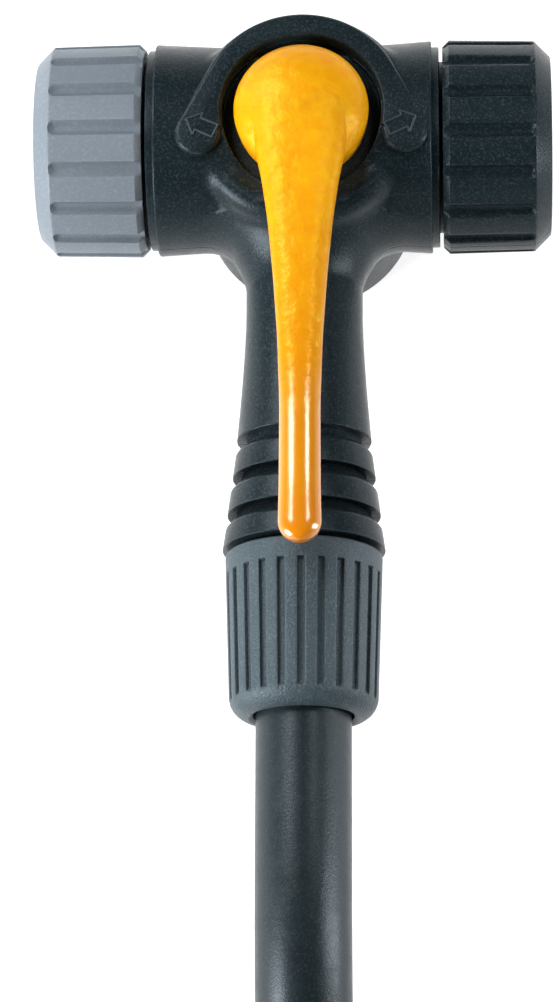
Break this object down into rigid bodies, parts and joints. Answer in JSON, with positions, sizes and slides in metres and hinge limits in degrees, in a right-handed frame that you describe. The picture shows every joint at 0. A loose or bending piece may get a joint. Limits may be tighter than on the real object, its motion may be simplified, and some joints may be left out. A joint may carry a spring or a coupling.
{
  "type": "pump head with hose",
  "caption": "T-shaped twin-valve tyre pump head with a flip lever, two screw caps and a fluted hose nut, on its coiled hose with a threaded stud.",
  "frame": {"origin": "centre of the rear boss's flat rest face, on the lever's pivot axis", "axes": "+Z along the pivot axis, towards the lever; +X along the barrel, towards the black cap; -Y along the stem, towards the hose"},
  "size_m": [0.1419, 0.2424, 0.0393],
  "materials": {
    "black_nylon": "fine moulded grain",
    "grey_nylon": "satin moulded",
    "lever_nylon": "glossy moulded",
    "acetal": "satin",
    "seal_rubber": "satin",
    "gasket_rubber": "matte",
    "hose_rubber": "satin",
    "steel": "brushed",
    "brass": "machined"
  },
  "bodies": {
    "head": {"head_body": "black_nylon", "direction_plate": "black_nylon", "rear_cover": "black_nylon", "hose_barb": "brass", "barb_o_ring": "seal_rubber", "grey_gasket": "gasket_rubber", "black_gasket": "gasket_rubber", "hose_run": "hose_rubber", "hose_coil": "hose_rubber", "hose_tail": "hose_rubber", "pump_end_ferrule": "steel", "pump_end_stud": "brass", "pump_end_washer": "seal_rubber"},
    "lever_set": {"lever": "lever_nylon", "cam_shaft": "acetal", "upper_shaft_o_ring": "seal_rubber", "lower_shaft_o_ring": "seal_rubber", "pivot_washer": "steel", "pivot_screw": "steel"},
    "shuttle": {"shuttle_yoke": "acetal", "grey_plunger": "acetal", "black_plunger": "acetal", "grey_plunger_o_ring": "seal_rubber", "black_plunger_o_ring": "seal_rubber", "valve_pin": "brass"},
    "grey_cap_carrier": {"grey_washer": "acetal"},
    "grey_cap_screw": {"grey_cap": "grey_nylon"},
    "black_cap_carrier": {"black_washer": "acetal"},
    "black_cap_screw": {"black_cap": "black_nylon"},
    "nut_carrier": {"hose_collet": "acetal"},
    "nut_screw": {"hose_nut": "black_nylon"}
  },
  "joints": [
    {"name": "lever_flip", "type": "hinge", "parent": "head", "child": "lever_set", "pos_m": [0, 0, 0.0215], "axis": [0, 0, 1], "range_deg": [-75, 75]},
    {"name": "shuttle_slide", "type": "slide", "parent": "head", "child": "shuttle", "axis": [1, 0, 0], "range_m": [-0.00157, 0.00157], "deforming": ["grey_gasket", "black_gasket"]},
    {"name": "grey_cap_travel", "type": "slide", "parent": "head", "child": "grey_cap_carrier", "axis": [-1, 0, 0], "range_m": [0, 0.009]},
    {"name": "grey_cap_turn", "type": "hinge", "parent": "grey_cap_carrier", "child": "grey_cap_screw", "pos_m": [-0.026, 0, 0.0215], "axis": [-1, 0, 0], "range_deg": [0, 2160]},
    {"name": "black_cap_travel", "type": "slide", "parent": "head", "child": "black_cap_carrier", "axis": [1, 0, 0], "range_m": [0, 0.009]},
    {"name": "black_cap_turn", "type": "hinge", "parent": "black_cap_carrier", "child": "black_cap_screw", "pos_m": [0.024, 0, 0.0215], "axis": [1, 0, 0], "range_deg": [0, 2160]},
    {"name": "nut_travel", "type": "slide", "parent": "head", "child": "nut_carrier", "axis": [0, -1, 0], "range_m": [0, 0.009]},
    {"name": "nut_turn", "type": "hinge", "parent": "nut_carrier", "child": "nut_screw", "pos_m": [0, -0.063, 0.0215], "axis": [0, -1, 0], "range_deg": [0, 2160]}
  ],
  "couplings": [
    {"joint": "shuttle_slide", "follows": "lever_flip", "m_per_rad": 0.0012},
    {"joint": "grey_cap_travel", "follows": "grey_cap_turn", "m_per_rad": 0.00023873},
    {"joint": "black_cap_travel", "follows": "black_cap_turn", "m_per_rad": 0.00023873},
    {"joint": "nut_travel", "follows": "nut_turn", "m_per_rad": 0.00023873}
  ]
}
